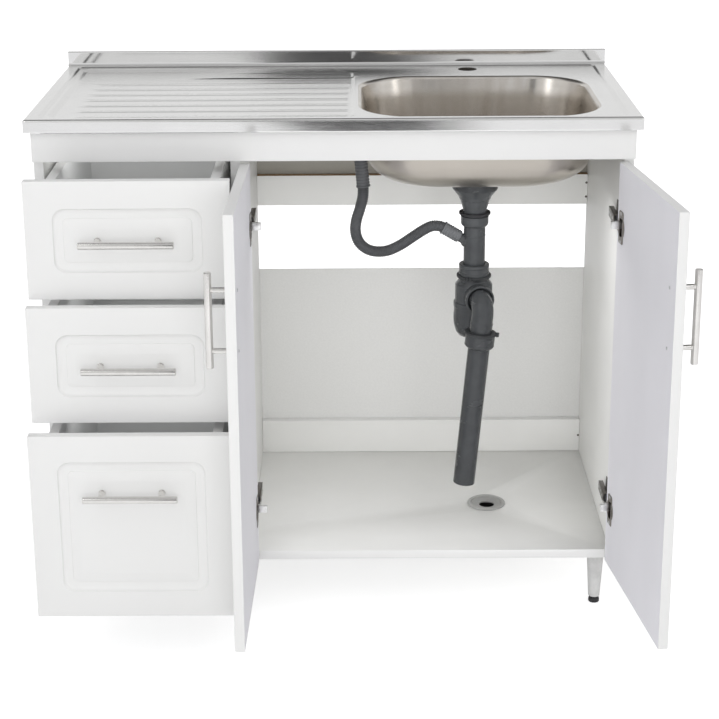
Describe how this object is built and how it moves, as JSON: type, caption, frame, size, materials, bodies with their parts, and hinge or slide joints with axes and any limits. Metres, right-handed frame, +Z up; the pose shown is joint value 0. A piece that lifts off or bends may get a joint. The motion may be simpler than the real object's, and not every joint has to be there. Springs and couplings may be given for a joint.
{
  "type": "kitchen sink unit",
  "caption": "White kitchen base cabinet with drawers, a two-door cupboard and a pressed steel sink top with drainer, waste trap and overflow hose.",
  "frame": {"origin": "on the floor under the middle of the whole unit as it stands, doors open and drawers partly out", "axes": "+X to the right seen from the front, +Y from the front to the wall, +Z up"},
  "size_m": [1.0528, 0.8042, 0.915],
  "materials": {
    "front_white": "satin white foil over routed board",
    "carcass_white": "matt white melamine faced board",
    "drawer_lining": "light grey melamine faced board",
    "back_board": "matt white painted hardboard",
    "worktop_steel": "satin pressed stainless steel",
    "handle_steel": "satin brushed bar",
    "hardware_steel": "nickel plated pressed steel",
    "foot_plastic": "matt black",
    "drain_plastic": "smooth dark grey moulded plastic",
    "hose_plastic": "corrugated dark grey plastic",
    "grommet_plastic": "smooth mid grey moulded plastic"
  },
  "bodies": {
    "cabinet": {"back_panel_lower": "back_board", "back_panel_upper": "back_board", "back_rail_lower": "carcass_white", "back_rail_upper": "carcass_white", "bottom_panel": "carcass_white", "front_rail": "front_white", "hinge_arm_left_lower": "hardware_steel", "hinge_arm_left_upper": "hardware_steel", "hinge_arm_right_lower": "hardware_steel", "hinge_arm_right_upper": "hardware_steel", "leg_back_left": "carcass_white", "leg_back_right": "carcass_white", "leg_front_left": "carcass_white", "leg_front_right": "carcass_white", "outlet_elbow": "drain_plastic", "outlet_nut": "drain_plastic", "outlet_pipe": "drain_plastic", "overflow_elbow": "drain_plastic", "overflow_hose": "hose_plastic", "partition": "carcass_white", "pipe_grommet": "grommet_plastic", "runner_bottom_left": "hardware_steel", "runner_bottom_right": "hardware_steel", "runner_middle_left": "hardware_steel", "runner_middle_right": "hardware_steel", "runner_top_left": "hardware_steel", "runner_top_right": "hardware_steel", "side_left": "carcass_white", "side_right": "carcass_white", "sink_bowl": "worktop_steel", "sink_top": "worktop_steel", "tailpiece": "drain_plastic", "trap_body": "drain_plastic", "waste_body": "drain_plastic", "waste_grid": "worktop_steel", "waste_nut": "drain_plastic"},
    "door_left": {"door_left": "front_white", "door_handle_left": "handle_steel", "hinge_cup_left_upper": "hardware_steel", "hinge_cup_left_lower": "hardware_steel"},
    "door_right": {"door_right": "front_white", "door_handle_right": "handle_steel", "hinge_cup_right_upper": "hardware_steel", "hinge_cup_right_lower": "hardware_steel"},
    "drawer_top": {"drawer_front_top": "front_white", "drawer_handle_top": "handle_steel", "drawer_box_top": "drawer_lining", "drawer_bottom_top": "drawer_lining"},
    "drawer_middle": {"drawer_front_middle": "front_white", "drawer_handle_middle": "handle_steel", "drawer_box_middle": "drawer_lining", "drawer_bottom_middle": "drawer_lining"},
    "drawer_bottom": {"drawer_front_bottom": "front_white", "drawer_handle_bottom": "handle_steel", "drawer_box_bottom": "drawer_lining", "drawer_bottom_bottom": "drawer_lining"},
    "levelling_foot_front_left": {"foot_front_left": "foot_plastic"},
    "levelling_foot_front_right": {"foot_front_right": "foot_plastic"},
    "levelling_foot_back_left": {"foot_back_left": "foot_plastic"},
    "levelling_foot_back_right": {"foot_back_right": "foot_plastic"}
  },
  "joints": [
    {"name": "door_left_hinge", "type": "hinge", "parent": "cabinet", "child": "door_left", "pos_m": [-0.17738, -0.0879, 0.457], "axis": [0, 0, -1], "range_deg": [-91, 0]},
    {"name": "door_right_hinge", "type": "hinge", "parent": "cabinet", "child": "door_right", "pos_m": [0.45362, -0.0879, 0.457], "axis": [0, 0, 1], "range_deg": [-97.5, 0]},
    {"name": "drawer_top_slide", "type": "slide", "parent": "cabinet", "child": "drawer_top", "axis": [0, -1, 0], "range_m": [-0.105, 0.145]},
    {"name": "drawer_middle_slide", "type": "slide", "parent": "cabinet", "child": "drawer_middle", "axis": [0, -1, 0], "range_m": [-0.14, 0.11]},
    {"name": "drawer_bottom_slide", "type": "slide", "parent": "cabinet", "child": "drawer_bottom", "axis": [0, -1, 0], "range_m": [-0.19, 0.06]},
    {"name": "foot_front_left_screw", "type": "slide", "parent": "cabinet", "child": "levelling_foot_front_left", "axis": [0, 0, -1], "range_m": [0, 0.012]},
    {"name": "foot_front_right_screw", "type": "slide", "parent": "cabinet", "child": "levelling_foot_front_right", "axis": [0, 0, -1], "range_m": [0, 0.012]},
    {"name": "foot_back_left_screw", "type": "slide", "parent": "cabinet", "child": "levelling_foot_back_left", "axis": [0, 0, -1], "range_m": [0, 0.012]},
    {"name": "foot_back_right_screw", "type": "slide", "parent": "cabinet", "child": "levelling_foot_back_right", "axis": [0, 0, -1], "range_m": [0, 0.012]}
  ]
}
